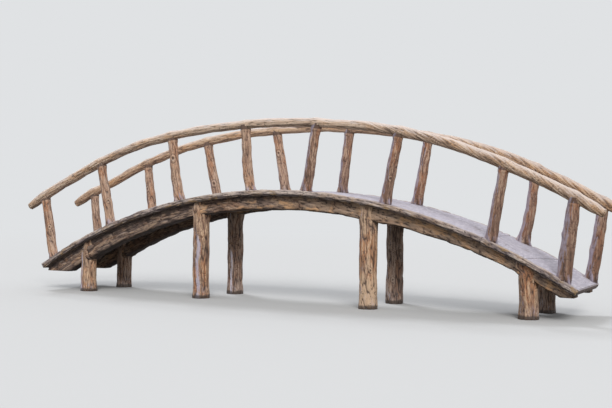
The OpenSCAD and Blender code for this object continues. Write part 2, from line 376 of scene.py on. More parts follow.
def slices(node, low, high):
    """Centres and radii of a CAD log at heights between two shares of its own height."""
    bottom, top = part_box(node)
    found = []
    for i in range(SLICE_COUNT):
        z = bottom.z + (top.z - bottom.z) * (low + (high - low) * i / (SLICE_COUNT - 1))
        least, most = cut_rim(node, (0, 0, z), (0, 0, 1))
        found.append(((least + most) / 2, (most.y - least.y) / 2))
    return found


def between(pairs, x):
    """Straight-line value at x through sorted (x, value) pairs, level beyond the ends."""
    if x <= pairs[0][0]:
        return pairs[0][1]
    for (x0, a), (x1, b) in zip(pairs, pairs[1:]):
        if x <= x1:
            return a + (b - a) * (x - x0) / (x1 - x0)
    return pairs[-1][1]


def eased(pairs, x):
    """Like between, but with an eased slope, so that a line through the pairs has no corners."""
    for (x0, a), (x1, b) in zip(pairs, pairs[1:]):
        if x0 <= x <= x1:
            return a + (b - a) * smooth(x0, x1, x)
    return between(pairs, x)


def meet_arc(point, direction, radius):
    """Where a line that rises from point meets an arc of the bridge."""
    px, pz = point.x, point.z - AXIS_Z
    b = px * direction.x + pz * direction.z
    flat = direction.x ** 2 + direction.z ** 2
    t = (-b + math.sqrt(b * b - flat * (px * px + pz * pz - radius * radius))) / flat
    return point + direction * t


def stand(bm, foot, direction, bends):
    """Stands a log on its foot, along direction, and shifts its rings to follow the bends."""
    across = Vector((0, 1, 0))
    side = across.cross(direction)
    for v in bm.verts:
        x, y, s = v.co
        v.co = foot + side * x + across * y + direction * s + between(bends, s)


# %% [markdown]
# The finishes are built further down, but a piece takes its material when it is made, so
# the materials are named and created here, empty, and filled in later.

# %% Names of the finishes
POST, SHADED_POST, BEARER = "post bark", "shaded post bark", "bearer bark"
BALUSTER, RAIL, BACK_RAIL, DECK = "baluster bark", "handrail bark", "back handrail bark", "deck cement"
FINISHES = (POST, SHADED_POST, BEARER, BALUSTER, RAIL, BACK_RAIL, DECK)
for finish in FINISHES:
    bpy.data.materials.new(finish).use_nodes = True
print("finishes:", FINISHES)

# %% [markdown]
# Eight posts carry the bridge. Each is a thick log with deep upright furrows. Its head
# swells into a lump of cement under the slab, and its foot is cut flat. The blank is longer
# than the post and is cut to the slope of the slab, as a mason would trim it, so the head
# is let into the slab all round. The photograph shows marks that belong to single posts:
# three have a run of lime down their fronts, one is bleached on its lower half and two
# more lightly, and two have a dark streak. Tables name them, so that one rule makes all.

# %% Sizes and marks of the posts
POST_BARK = Bark(lump=0.007, lump_size=0.2, furrow=0.0068, spacing=0.036, plate=0.005, fine=0.0015,
                 stretch=9)
POST_RING_GAP, POST_SEGMENTS = 0.009, 88
# The shares of a post's height between which its thickness is read from the frame
POST_READ = (0.02, 0.88)
# How much longer the blank is than the post, and the twist of its grain in each metre
POST_SPARE, POST_TWIST = 0.06, 0.25
HEAD_SEAT = 0.012
# The lump under the slab: how far it stands out, and how far under the top it starts and is full
HEAD_LUMP, LUMP_START, LUMP_FULL = 0.02, 0.3, 0.12
# The dark seam right under the slab, in the same way
SEAM_START, SEAM_FULL = 0.035, 0.01
# The grey of the foot: how strong it is, how high it reaches, and where it is full
FOOT_GREY, GREY_TOP, GREY_FULL = 0.3, 0.3, 0.08
# How much lavender grey lies on the side that faces left and up: partly lime, partly painted cool skylight
POST_LIME_AND_SKYLIGHT = 0.45
# How far stripes sway sideways in degrees, over what height, and how long a run fades in
STRIPE_SWAY, STRIPE_SWAY_SIZE, RUN_FADE = 12, 0.22, 0.15
# Each run of lime: its middle and half its width, in degrees round the post, and its upper end
LIME_RUNS = {"front_post_2": (-82, 15, 0.9), "back_post_2": (-90, 11, 0.66),
             "front_post_1": (-118, 12, 0.9)}
# Posts that are paler or darker than the rest all over, and dark streaks: middle, half width, strength
POST_TONES = {"front_post_3": 0.2, "front_post_4": -0.2}
DARK_STREAKS = {"front_post_4": (-113, 13, 0.7), "front_post_3": (-150, 12, 0.4)}
# The bleached stretch of a post: its lower and its upper end, and how strong it is
BLEACHED = {"front_post_3": (0.02, 0.4, 0.75), "front_post_1": (0.1, 0.5, 0.3),
            "front_post_4": (0.2, 0.5, 0.3)}
POST_KNOTS = {"front_post_3": [Knot(-52, 0.46, 0.018)], "back_post_3": [Knot(-80, 0.3, 0.02)],
              "front_post_1": [Knot(-30, 0.52, 0.022)]}


# %% Posts
def off_stripe(angle, middle, half_width):
    """How far an angle lies from a stripe, in half widths. The stripe is given in degrees."""
    return math.remainder(angle - math.radians(middle), math.tau) / math.radians(half_width)


def post_dress(node, top, radius):
    offset = seed_offset(node)
    run, bleached, streak = LIME_RUNS.get(node), BLEACHED.get(node), DARK_STREAKS.get(node)
    knots, tone = POST_KNOTS.get(node, []), POST_TONES.get(node, 0.0)

    def dress(angle, s):
        around = Vector((math.cos(angle), math.sin(angle), s * 5)) + offset
        swelling = smooth(top - LUMP_START, top - LUMP_FULL, s)
        seam = smooth(top - SEAM_START, top - SEAM_FULL, s)
        touch = Touch(height=HEAD_LUMP * swelling * (0.35 + wave(around, 0.7)))
        touch.tone = tone + 0.6 * swelling * (0.5 + wave(around, 0.4)) - 0.7 * seam
        touch.lime = FOOT_GREY * smooth(GREY_TOP, GREY_FULL, s)
        sway = STRIPE_SWAY * wave(Vector((0, 0, s)) + offset, STRIPE_SWAY_SIZE)
        if streak:
            middle, half_width, strength = streak
            touch.tone -= strength * bell(off_stripe(angle, middle + sway, half_width), 1)
        if run:
            middle, half_width, upper = run
            away = off_stripe(angle, middle + sway, half_width)
            below = smooth(upper, upper - RUN_FADE, s)
            touch.lime = max(touch.lime, 1.3 * bell(away, 1) * below)
            touch.groove = 0.7 * bell(away - 1.7, 0.35) * below
        if bleached:
            low, high, strength = bleached
            edge = 0.08 * wave(around, 0.5)
            inside = smooth(low - 0.03, low + 0.03, s) * smooth(high + 0.06, high - 0.1, s + edge)
            touch.tone += strength * inside
        add_knots(touch, knots, angle, s, radius)
        return touch

    return dress


def make_post(node):
    found = slices(node, *POST_READ)
    foot = Vector((found[0][0].x, found[0][0].y, 0.0))
    radii = [(centre.z, radius) for centre, radius in found]
    body = radii[0][1]
    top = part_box(node)[1].z
    bm = straight_tube(body, 0.0, top + POST_SPARE, POST_RING_GAP, POST_SEGMENTS)
    carve_log(bm, node, POST_BARK, body, lambda s: between(radii, s), post_dress(node, top, body),
              lambda s: POST_TWIST * s)
    bends = [(c.z, Vector((c.x - foot.x, c.y - foot.y, 0))) for c, _ in found]
    stand(bm, foot, Vector((0, 0, 1)), bends)
    point, normal = tangent_plane(foot.x, SOFFIT_RADIUS)
    trim(bm, point + normal * HEAD_SEAT, normal)
    # The back row gets a greyer, darker copy of the post finish: painted shade
    material = POST if node.startswith("front") else SHADED_POST
    keep_piece(bm, node, material, lime=POST_LIME_AND_SKYLIGHT)
    return foot.x


post_places = {row: [make_post("%s_post_%d" % (row, i)) for i in range(1, 5)] for row in ROWS}
print("posts stand at x =", [round(x, 2) for x in post_places["front"]])

# %% [markdown]
# Sixteen balusters lean away from the middle of the bridge. Each is a crooked branch whose
# foot spreads into roots over the slab. The roots are lobes round the foot that fade as
# they climb, with a furrow between each pair. The foot is cut a little below the slab's
# surface. The head wears a small collar right under the handrail and ends inside it. The
# knots are where the photograph shows them.

# %% Sizes and marks of the balusters
BALUSTER_BARK = Bark(lump=0.006, lump_size=0.12, furrow=0.0038, spacing=0.027, plate=0.0028,
                     fine=0.001, stretch=10)
BALUSTER_RING_GAP, BALUSTER_SEGMENTS = 0.008, 60
BALUSTER_READ = (0.3, 0.8)
# How far the blank starts below the slab's surface, and the twist of its grain in each metre
BALUSTER_SPARE, BALUSTER_TWIST = 0.06, 0.8
ROOT_HEIGHT, ROOT_LOBE, ROOT_TWIST = 0.17, 0.012, 0.8
FOOT_SEAT = 0.01
# How far a plain baluster may be crooked, and in how many steps it bends
CROOK, BEND_STEPS = 0.005, 11
# How thick the bark is round the body of a baluster
BARK_THICKNESS = 0.009
# The collar: how far it stands out, and how far under the handrail it starts and is full
COLLAR, COLLAR_START, COLLAR_FULL = 0.006, 0.05, 0.02
# The dark band at the foot, and the painted shade right under the handrail where the baluster meets it: how
# far off each starts and is full
FOOT_BAND_START, FOOT_BAND_FULL = 0.016, 0.004
HEAD_SHADE_START, HEAD_SHADE_FULL = 0.014, 0.002
# The lime on the roots: how high it reaches, and where it is full
ROOT_LIME_TOP, ROOT_LIME_FULL = 0.16, 0.03
DECK_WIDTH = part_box("deck_slab")[1].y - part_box("deck_slab")[0].y
# How far inside the deck's sides the roots have to stay
EDGE_MARGIN = 0.004
BALUSTER_KNOTS = {
    "front_baluster_3": [Knot(-72, 0.55, 0.03)], "back_baluster_3": [Knot(-72, 0.25, 0.028)],
    "back_baluster_4": [Knot(-84, 0.52, 0.026)], "front_baluster_2": [Knot(-40, 0.32, 0.02)],
    "back_baluster_2": [Knot(-100, 0.5, 0.024)], "front_baluster_6": [Knot(-62, 0.3, 0.02)],
    "back_baluster_1": [Knot(-100, 0.28, 0.02)], "front_baluster_1": [Knot(-50, 0.42, 0.02)],
}
# Balusters that thicken on their upper part, with a shoulder on the left: its height and rise
SHOULDER = {"front_baluster_8": (0.5, 0.02), "back_baluster_8": (0.36, 0.01)}
# How far the middle of a bowed baluster lies to the right
BOWS = {"front_baluster_3": -0.014, "front_baluster_4": -0.016, "back_baluster_3": -0.012,
        "back_baluster_7": 0.016, "back_baluster_8": 0.014}


# %% Balusters
heads = {row: [] for row in ROWS}
feet = []


def baluster_dress(node, length, radius, spread, foot_x):
    dice = random.Random(node)
    lobes, phase = dice.choice((4, 5, 5, 6)), dice.uniform(0, math.tau)
    knots, shoulder = BALUSTER_KNOTS.get(node, []), SHOULDER.get(node)
    offset = seed_offset(node)
    under_rail = length - RAIL_WIDTH / 2
    low_tone = dice.uniform(0.0, 0.3) if foot_x < 0 else dice.uniform(-0.55, -0.3)
    tone = (0.3 * smooth(0.0, -0.4, foot_x) - 0.12 * smooth(0.0, 0.4, foot_x)
            - 0.35 * smooth(2.0, 3.2, foot_x))

    def dress(angle, s):
        near = max(0.0, 1 - s / ROOT_HEIGHT) ** 2
        lobe = math.cos(lobes * (angle + phase + ROOT_TWIST * s / ROOT_HEIGHT))
        collar = smooth(under_rail - COLLAR_START, under_rail - COLLAR_FULL, s)
        ruffle = 1 + wave(Vector((angle, 0, 0)) + offset, 0.8)
        touch = Touch(height=near * (spread + ROOT_LOBE * lobe) + COLLAR * collar * ruffle)
        seams = 0.9 * min(1.0, near * 1.5) * max(0.0, -lobe) ** 2
        # Painted shade right under the handrail, where the baluster meets it
        head_shade = smooth(under_rail - HEAD_SHADE_START, under_rail - HEAD_SHADE_FULL, s)
        touch.groove = max(seams, smooth(FOOT_BAND_START, FOOT_BAND_FULL, s), head_shade)
        touch.lime = 0.75 * smooth(ROOT_LIME_TOP, ROOT_LIME_FULL, s) * (0.5 + 0.5 * max(0.0, lobe))
        touch.tone = tone + low_tone * smooth(0.75 * length, 0.1, s) + 0.3 * collar
        if shoulder:
            height, rise = shoulder
            left = max(0.0, -math.cos(angle + 0.4)) ** 1.5
            touch.height += rise * (0.4 + left) * smooth(length, 0.8 * length, s)
            touch.height += rise * left * bell(s - height, 0.05)
            touch.tone += 1.4 * left * bell(s - height, 0.035)
        add_knots(touch, knots, angle, s, radius)
        return touch

    return dress


def baluster_bends(node, length):
    """A bow to one side, and a crook to both, as shifts at heights up a baluster."""
    dice = random.Random(node + " crook")
    bow, kink = BOWS.get(node, dice.uniform(-CROOK, CROOK)), dice.uniform(-CROOK, CROOK)
    bends = []
    for i in range(BEND_STEPS + 1):
        t = i / BEND_STEPS
        shift = bow * math.sin(math.pi * t) + kink * math.sin(math.tau * t)
        bends.append((t * length, Vector((shift, 0, 0))))
    return bends


def make_baluster(node):
    row = node.split("_")[0]
    found = slices(node, *BALUSTER_READ)
    first, last = found[0][0], found[-1][0]
    direction = (last - first).normalized()
    foot = meet_arc(first, direction, DECK_RADIUS)
    on_arc = meet_arc(first, direction, RAIL_RADIUS)
    over = eased(RAIL_WAVER[row], RAIL_RADIUS * math.asin(on_arc.x / RAIL_RADIUS))
    head = meet_arc(first, direction, RAIL_RADIUS + over)
    radii = [((centre - foot).dot(direction), radius + BARK_THICKNESS) for centre, radius in found]
    body = radii[0][1]
    low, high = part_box(node)
    spread = (foot.x - low.x if foot.x > 0 else high.x - foot.x) - body
    length = (head - foot).length
    bm = straight_tube(body, -BALUSTER_SPARE, length, BALUSTER_RING_GAP, BALUSTER_SEGMENTS)
    carve_log(bm, node, BALUSTER_BARK, body, lambda s: between(radii, s),
              baluster_dress(node, length, body, spread, foot.x), lambda s: BALUSTER_TWIST * s)
    stand(bm, foot, direction, baluster_bends(node, length))
    point, normal = tangent_plane(foot.x, DECK_RADIUS)
    trim(bm, point - normal * FOOT_SEAT, -normal)
    edge = DECK_WIDTH / 2 - EDGE_MARGIN
    for v in bm.verts:
        if abs(v.co.y) > edge:
            v.co.y = math.copysign(edge, v.co.y)
    # The lavender grey on the side that faces left and up, partly lime and partly painted cool skylight, is
    # stronger on the right half
    keep_piece(bm, node, BALUSTER, lime=0.9 if foot.x > 0 else 0.5)
    heads[row].append(head)
    feet.append((foot, body + spread))


for row in ROWS:
    for i in range(1, 9):
        make_baluster("%s_baluster_%d" % (row, i))
print("balusters meet the handrails at x =", [round(p.x, 2) for p in heads["front"]])

# %% [markdown]
# A handrail is one bent log whose tips taper a little and are rounded. It thickens into a
# knuckle over each baluster, and each length between two knuckles is a little thicker or
# thinner than the next, as if several branches had been joined. Its grain runs nearly
# straight on the left and winds round it on the right. It is made straight, moved to where
# it lies over its arc, and then bent.

# %% Sizes of the handrails
RAIL_BARK = Bark(lump=0.005, lump_size=0.2, furrow=0.0045, spacing=0.026, plate=0.0035, fine=0.0012,
                 stretch=15)
RAIL_RING_GAP, RAIL_SEGMENTS = 0.0095, 48
KNUCKLE_RISE, KNUCKLE_LENGTH = 0.008, 0.06
# How much the thickness changes from one length to the next, and half the length of the change
SECTION_CHANGE, SECTION_STEP = 0.0035, 0.03
# The seam beside each knuckle: how far beyond it, how wide and how deep
KNUCKLE_SEAM_AT, KNUCKLE_SEAM_WIDTH, KNUCKLE_SEAM_DEPTH = 0.05, 0.008, 0.003
TIP_ROUNDING, TIP_TAPER, TAPER_LENGTH = 0.024, 0.012, 0.16
# How far each tip reaches beyond the CAD log: the left one and the right one
TIP_REACH = {"front": (0.065, 0.035), "back": (0.035, 0.035)}
# The grain turns slowly all along, and winds faster from one place on, in radians a metre
SLOW_TURN, WINDS_FROM, WINDING = 0.4, 1.2, -4.5
# Near the crown the handrail is thinner and paler: by how much thinner, and over what length
CROWN_THINNING, CROWN_LENGTH = 0.005, 1.8


# %% Handrails
def bend_to_arch(bm, radius, y):
    """Bends what was made straight along Z round the arch. Its +X side becomes the top."""
    for v in bm.verts:
        up, across, s = v.co
        v.co = arc_point(s / radius, radius + up, y - across)


def round_end(bm, at, rounding):
    """Rounds the rim of a straight blank's end, which lies at the height at."""
    rim = [e for e in bm.edges if all(abs(v.co.z - at) < 1e-4 for v in e.verts)]
    bmesh.ops.bevel(bm, geom=rim, offset=rounding, segments=3, profile=0.5,
                    affect="EDGES", material=-1, clamp_overlap=False)


def rail_sections(node, knuckles, right):
    """How thick each length of a handrail is, from -1 to 1, at distances along it."""
    dice = random.Random(node)
    sections = [(knuckles[0] - 1, dice.uniform(-1, 1))]
    for a, b in zip(knuckles, knuckles[1:] + [right]):
        change = dice.uniform(-1, 1)
        sections += [(a - SECTION_STEP, sections[-1][1]), (a + SECTION_STEP, change),
                     ((a + b) / 2, 0.6 * change)]
    return sections


def make_handrail(node):
    row = node.split("_")[0]
    low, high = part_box(node)
    half = RAIL_RADIUS * math.asin(high.x / (RAIL_RADIUS + RAIL_WIDTH / 2))
    left, right = -half - TIP_REACH[row][0], half + TIP_REACH[row][1]
    knuckles = [RAIL_RADIUS * math.asin(p.x / RAIL_RADIUS) for p in heads[row]]
    sections = rail_sections(node, knuckles, right)

    def dress(angle, s):
        rise = sum(KNUCKLE_RISE * bell(s - k, KNUCKLE_LENGTH) for k in knuckles)
        seam = max(bell(s - k - KNUCKLE_SEAM_AT, KNUCKLE_SEAM_WIDTH) for k in knuckles)
        seam *= smooth(0.2, -0.6, math.cos(angle))
        height = rise + SECTION_CHANGE * between(sections, s) - KNUCKLE_SEAM_DEPTH * seam
        height -= TIP_TAPER * smooth(TAPER_LENGTH, 0.0, min(s - left, right - s))
        near_crown = bell(s, CROWN_LENGTH)
        tone = 0.55 * near_crown - 0.1 - 0.12 * smooth(1.0, 2.0, s)
        return Touch(height=height - CROWN_THINNING * near_crown, groove=0.8 * seam, tone=tone)

    bm = straight_tube(RAIL_WIDTH / 2, left, right, RAIL_RING_GAP, RAIL_SEGMENTS)
    for end in (left, right):
        round_end(bm, end, TIP_ROUNDING)
    carve_log(bm, node, RAIL_BARK, RAIL_WIDTH / 2, lambda s: RAIL_WIDTH / 2, dress,
              lambda s: WINDING * max(0.0, s - WINDS_FROM) - SLOW_TURN * s)
    for v in bm.verts:
        v.co.x += eased(RAIL_WAVER[row], v.co.z)
    bend_to_arch(bm, RAIL_RADIUS, (low.y + high.y) / 2)
    keep_piece(bm, node, RAIL if row == "front" else BACK_RAIL)
    print("%s is %.2f m long" % (node, right - left))


for row in ROWS:
    make_handrail(row + "_handrail")

# %% [markdown]
# The bearers and the deck aren't round. Each starts as the outline of its cross section: a
# square is scaled, its corners are bevelled, and its sides are subdivided so that there are
# vertices for the relief to move. The outline is then spun straight along its length. Sides
# that show get small cells, and the underside gets large ones.

# %% Squared blanks
# How near its top or bottom an edge of the outline lies to count as part of it
NEARLY_HALF = 0.49


def section_outline(bm, depth, width, corner_radii, cells):
    """A squared log's outline. X is up, Y across. Radii are (lower, upper), cells (side, top, bottom)."""
    bmesh.ops.create_grid(bm, x_segments=1, y_segments=1, size=0.5)
    bmesh.ops.scale(bm, verts=bm.verts[:], vec=(depth, width, 1))
    lower = [v for v in bm.verts if v.co.x < 0]
    upper = [v for v in bm.verts if v.co.x > 0]
    for corners, radius in ((lower, corner_radii[0]), (upper, corner_radii[1])):
        bmesh.ops.bevel(bm, geom=corners, offset=radius, segments=4, profile=0.5,
                        affect="VERTICES", material=-1)
    side, top, bottom = cells
    for edge in bm.edges[:]:
        ends = [v.co.x for v in edge.verts]
        on_top, on_bottom = min(ends) > NEARLY_HALF * depth, max(ends) < -NEARLY_HALF * depth
        cell = top if on_top else bottom if on_bottom else side
        if edge.calc_length() > 2 * cell:
            cuts = round(edge.calc_length() / cell) - 1
            bmesh.ops.subdivide_edges(bm, edges=[edge], cuts=cuts)
    bmesh.ops.delete(bm, geom=bm.faces[:], context="FACES_ONLY")


def carve_block(bm, name, relief):
    """Moves each vertex along its normal. relief gives a groove, a rib and a Touch for each."""
    grain, layers = new_layers(bm)
    offset = seed_offset(name)
    bm.normal_update()
    moves = [(v, v.normal.copy(), relief(v.co, v.normal, offset)) for v in bm.verts]
    for v, normal, (groove, rib, touch) in moves:
        v[grain] = v.co + offset
        paint(v, layers, groove, rib, touch)
        v.co += normal * touch.height


# %% [markdown]
# Five lengths of bearer run along each side: three between the posts, and one at each end.
# They are deep on the left and thin on the right, and paler on the right as well. Their
# sides are rough hewn, with the grain along the arch, and swell where they meet a post.
# Each ends inside the posts that it meets, and its top is bedded a few millimetres into the slab. A band
# right under the slab is darkened as painted shade, with drip stains along its lower edge. The left half is
# dark there, and the right half hardly is. Painted shade also darkens each bearer's lower edge, and the
# lower part of the bearers on the left.

# %% Sizes and marks of the bearers
BEARER_BARK = Bark(lump=0.007, lump_size=0.15, furrow=0.0045, spacing=0.036, plate=0.005, fine=0.0014,
                   stretch=6)
# At distances along the bridge: how pale the bearers are, and how dark the painted shade right under the
# slab is
PALE = [(-3.0, -0.08), (-2.8, -0.3), (-1.3, -0.3), (-1.0, 0.15), (0.2, 0.22), (1.0, 0.65),
        (2.6, 0.6), (3.2, 0.25)]
UNDER_SLAB_SHADE = [(-1.2, 1.0), (0.0, 0.8), (0.8, 0.3), (2.6, 0.1), (3.2, 0.5)]
BEARER_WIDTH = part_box("front_bearer_3")[1].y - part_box("front_bearer_3")[0].y
BEARER_CELL = 0.012
BEARER_CORNERS = (0.03, 0.004)
BEARER_BED = 0.008
POST_OVERLAP = 0.03
# How near the end of a bearer a post still swells it
POST_NEAR = 0.2
FILLET_RISE, FILLET_LENGTH = 0.022, 0.07
# How far from a bearer's ends its depth is read, and how far over the seat it has to lie
DEPTH_MARGIN, SEAT_MARGIN = 0.04, 0.002
# Knots on the front of a bearer: distance along the bridge, height over its middle, size
BEARER_KNOTS = {"front_bearer_3": [(-0.985, 0.042, 0.016), (-0.965, -0.002, 0.015)],
                "front_bearer_4": [(1.5, 0.0, 0.016)], "front_bearer_2": [(-1.75, 0.01, 0.018)]}


# %% Bearers
def bearer_depths(node):
    """How deep a CAD bearer is at distances along the bridge, where its flat seat doesn't cut it."""
    low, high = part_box(node)
    found = []
    for i in range(SLICE_COUNT):
        x = low.x + DEPTH_MARGIN + (high.x - low.x - 2 * DEPTH_MARGIN) * i / (SLICE_COUNT - 1)
        least, most = cut_rim(node, (x, 0, 0), (1, 0, 0))
        if least.z > END_SEAT_Z + SEAT_MARGIN:
            found.append((x, (most.z - least.z) * math.cos(math.asin(x / SOFFIT_RADIUS))))
    return found


def make_bearer(node):
    row = node.split("_")[0]
    low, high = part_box(node)
    first, last = node.endswith("_1"), node.endswith("_5")
    depths = bearer_depths(node)
    depth = max(d for _, d in depths)
    mid_radius = SOFFIT_RADIUS - depth / 2

    def along(x):
        return mid_radius * math.asin(x / SOFFIT_RADIUS)

    posts = [along(x) for x in post_places[row] if low.x - POST_NEAR < x < high.x + POST_NEAR]
    knots = [(along(x), up, size) for x, up, size in BEARER_KNOTS.get(node, [])]
    bm = bmesh.new()
    cells = (BEARER_CELL, 2 * BEARER_CELL, BEARER_CELL)
    section_outline(bm, depth, BEARER_WIDTH, BEARER_CORNERS, cells)
    for v in bm.verts:
        if v.co.x > depth / 2 - 0.001:
            v.co.x += BEARER_BED
    draw_along(bm, along(low.x - POST_OVERLAP), along(high.x + POST_OVERLAP), BEARER_CELL)
    for v in bm.verts:
        share = between(depths, SOFFIT_RADIUS * math.sin(v.co.z / mid_radius)) / depth
        v.co.x = depth / 2 - (depth / 2 - v.co.x) * share

    def hewn(point, normal, offset):
        height, groove, rib = bark_relief(BEARER_BARK, point + offset)
        shown = 1 - smooth(0.5, 0.9, normal.x)
        up = point.x / depth + 0.5
        joint = max(bell(point.z - s, FILLET_LENGTH) for s in posts)
        touch = Touch(height=(height + FILLET_RISE * joint) * shown)
        drip = 0.3 * wave(Vector((0, 0, point.z)) + offset, 0.07)
        # A band right under the slab, darkened as painted shade, with drip stains along its lower edge
        damp = between(UNDER_SLAB_SHADE, point.z) * smooth(0.6 + drip, 0.9 + drip, up)
        # Painted shade along the lower edge, and over the lower part of the bearers on the left
        low = 0.35 * smooth(0.14, -0.02, up) + 0.4 * smooth(0.4, 0.1, up) * smooth(-0.9, -1.3, point.z)
        touch.tone = between(PALE, point.z) + 0.3 * joint - damp - low
        if normal.y > 0.3:
            for s, middle, size in knots:
                add_knot(touch, size, point.z - s, point.x - middle)
        return groove * shown, rib * shown, touch

    carve_block(bm, node, hewn)
    bend_to_arch(bm, mid_radius, (low.y + high.y) / 2)
    if first or last:
        trim(bm, Vector((0, 0, END_SEAT_Z)), Vector((0, 0, -1)))
        trim(bm, low if first else high, Vector((-1 if first else 1, 0, 0)))
    keep_piece(bm, node, BEARER)
    print("%s is %.3f m deep on the left and %.3f m on the right" % (node, depths[0][1], depths[-1][1]))


for row in ROWS:
    for i in range(1, 6):
        make_bearer("%s_bearer_%d" % (row, i))

# %% [markdown]
# The deck is a cement slab in three lengths. Its top is trodden smooth and cracked across, and stained round
# the balusters' feet. Its edges are modelled as the worn edges of old boards: a lip on top, and under it a
# scalloped face with long grain and nicks. That face is darker, partly in its own stain and partly as
# painted shade under the lip. The lip is pale along the middle and browner toward both ends. One long crack
# crosses the right end at a slant. Here the painted lime marks the bare cement on top.

# %% Sizes of the deck
DECK_RING_GAP = 0.012
# The end lengths are short, so their rings can be finer without adding much to the mesh
END_RING_GAP = 0.8 * DECK_RING_GAP
DECK_CELLS = (0.007, 0.017, 0.035)
DECK_CORNERS = (0.016, 0.018)
JOINT_X, JOINT_GAP = 2.65, 0.006
EDGE_BARK = Bark(lump=0.008, lump_size=0.17, furrow=0.0038, spacing=0.027, plate=0.003, fine=0.0015,
                 stretch=8)
# How far in from the slab's sides the edge's relief starts and is full
EDGE_START, EDGE_FULL = 0.06, 0.018
# The lip stands out from the face under it. Its foot is measured from the middle of the slab
LIP_FOOT, LIP_RISE, LIP_SLOPE, FACE_RECESS = -0.021, 0.004, 0.009, 0.012
NICK_DEPTH, NICK_WIDTH = 0.011, 0.014
# The least and the most distance from one nick to the next
NICK_GAPS = (0.1, 0.4)
# Where the slanting crack meets the front edge and the back edge, along the bridge
SLANT_CRACK = (3.11, 3.23)
CRACK_DEPTH, CRACK_WIDTH = 0.005, 0.007
# The dark ring round a baluster's foot
STAIN_RING = 0.012
DECK_MID = DECK_RADIUS - DECK_THICKNESS / 2
DECK_END_ROUNDING = 0.012


def along_deck(x):
    return DECK_MID * math.asin(x / DECK_RADIUS)


print("the deck is %.3f m wide and %.3f m long on its arc" % (DECK_WIDTH, 2 * along_deck(DECK_SPAN / 2)))


# %% Wear of the deck
def edge_nicks(name, low, high):
    """Places along an edge where a corner has broken away."""
    dice = random.Random(name + " nicks")
    places, s = [], low
    while s < high:
        places.append((s, dice.choice((-1, 1)), dice.uniform(0.4, 1)))
        s += dice.uniform(*NICK_GAPS)
    return places


def trodden(point):
    """Height of the deck's top at a point of it, and how deep a crack runs there."""
    undulation = 0.003 * wave(point, 0.45) + 0.0012 * wave(point, 0.06)
    cell = Vector((0, point.y / 0.9 + 0.3 * wave(point, 0.12), point.z / 0.17))
    crack = max(0.0, 1 - abs(noise.noise(cell, noise_basis="BLENDER")) / 0.05)
    crack *= smooth(0.0, 0.25, wave(point + FINE_SHIFT, 0.5))
    return undulation - 0.003 * crack, crack


def board_edge(touch, point, along_edge, offset):
    """Adds the lip and the recessed face of an old board's edge."""
    scallop = wave(Vector((0, point.y, point.z)) + offset, 0.13)
    height = point.x - LIP_FOOT + 0.01 * scallop
    lip = smooth(-LIP_SLOPE, LIP_SLOPE, height)
    touch.height += along_edge * (LIP_RISE * lip - FACE_RECESS * (1 - lip) * (0.7 + scallop))
    touch.groove = max(touch.groove, 0.85 * bell(height + 0.002, 0.006) * along_edge)
    right_end = smooth(1.3, 2.2, point.z)
    pale = 0.42 * smooth(-2.0, -1.0, point.z) - 0.15 - 0.4 * right_end
    # Under the lip the face is darker: partly its stain, partly painted shade
    touch.tone += along_edge * (pale * lip - (0.3 + 0.3 * right_end) * (1 - lip))


def add_stains(touch, stains, point):
    """Adds a dark ring and a stain round each baluster's foot."""
    for s, across, radius in stains:
        away = math.hypot(point.z - s, point.y - across)
        if away < 3 * radius:
            touch.groove = max(touch.groove, 0.7 * bell(away - radius, STAIN_RING))
            touch.tone -= 0.5 * bell(away, 1.6 * radius)


def add_slant_crack(touch, point, offset):
    """Adds the crack that crosses the right end of the deck from one side to the other."""
    front, back = (along_deck(x) for x in SLANT_CRACK)
    wander = 0.01 * wave(Vector((0, point.y, 0)) + offset, 0.15)
    line = front + (back - front) * (0.5 - point.y / DECK_WIDTH) + wander
    gap = bell(point.z - line, CRACK_WIDTH)
    touch.height -= CRACK_DEPTH * gap
    touch.groove = max(touch.groove, gap)


# %% Deck
def make_deck(node, low, high, ring_gap, slant=False):
    bm = bmesh.new()
    section_outline(bm, DECK_THICKNESS, DECK_WIDTH, DECK_CORNERS, DECK_CELLS)
    draw_along(bm, low, high, ring_gap)
    # The middle length has no free end. An end length has one, on the side away from the middle
    if low + high:
        round_end(bm, max(low, high, key=abs), DECK_END_ROUNDING)
    nicks = edge_nicks(node, low, high)
    stains = [(along_deck(foot.x), -foot.y, radius) for foot, radius in feet]
    stains = [stain for stain in stains if low - 0.2 < stain[0] < high + 0.2]

    def relief(point, normal, offset):
        touch = Touch()
        side = smooth(DECK_WIDTH / 2 - EDGE_START, DECK_WIDTH / 2 - EDGE_FULL, abs(point.y))
        groove = rib = 0.0
        if side > 0:
            height, groove, rib = bark_relief(EDGE_BARK, point + offset)
            touch.height = side * height
            groove, rib = side * groove, side * rib
            board_edge(touch, point, side * smooth(0.3, 0.8, abs(normal.y)), offset)
            for s, nick_side, size in nicks:
                if nick_side * point.y > 0 and abs(point.z - s) < 4 * NICK_WIDTH:
                    touch.height -= NICK_DEPTH * size * bell(point.z - s, NICK_WIDTH)
        if normal.x > 0:
            height, crack = trodden(point + offset)
            touch.height += (1 - side) * height
            touch.lime = (1 - side) * smooth(0.3, 0.8, normal.x)
            touch.groove = max(touch.groove, (1 - side) * crack)
            add_stains(touch, stains, point)
            if slant:
                add_slant_crack(touch, point, offset)
        return groove, rib, touch

    carve_block(bm, node, relief)
    bend_to_arch(bm, DECK_MID, 0.0)
    keep_piece(bm, node, DECK)
    print("%s is %.2f m long, with %d nicks in its edges" % (node, high - low, len(nicks)))


joint = along_deck(JOINT_X - JOINT_GAP / 2)
far_joint = along_deck(JOINT_X + JOINT_GAP / 2)
tip = along_deck(DECK_SPAN / 2)
make_deck("deck_slab", -joint, joint, DECK_RING_GAP)
make_deck("deck_end_left", -tip, -far_joint, END_RING_GAP)
make_deck("deck_end_right", far_joint, tip, END_RING_GAP, slant=True)

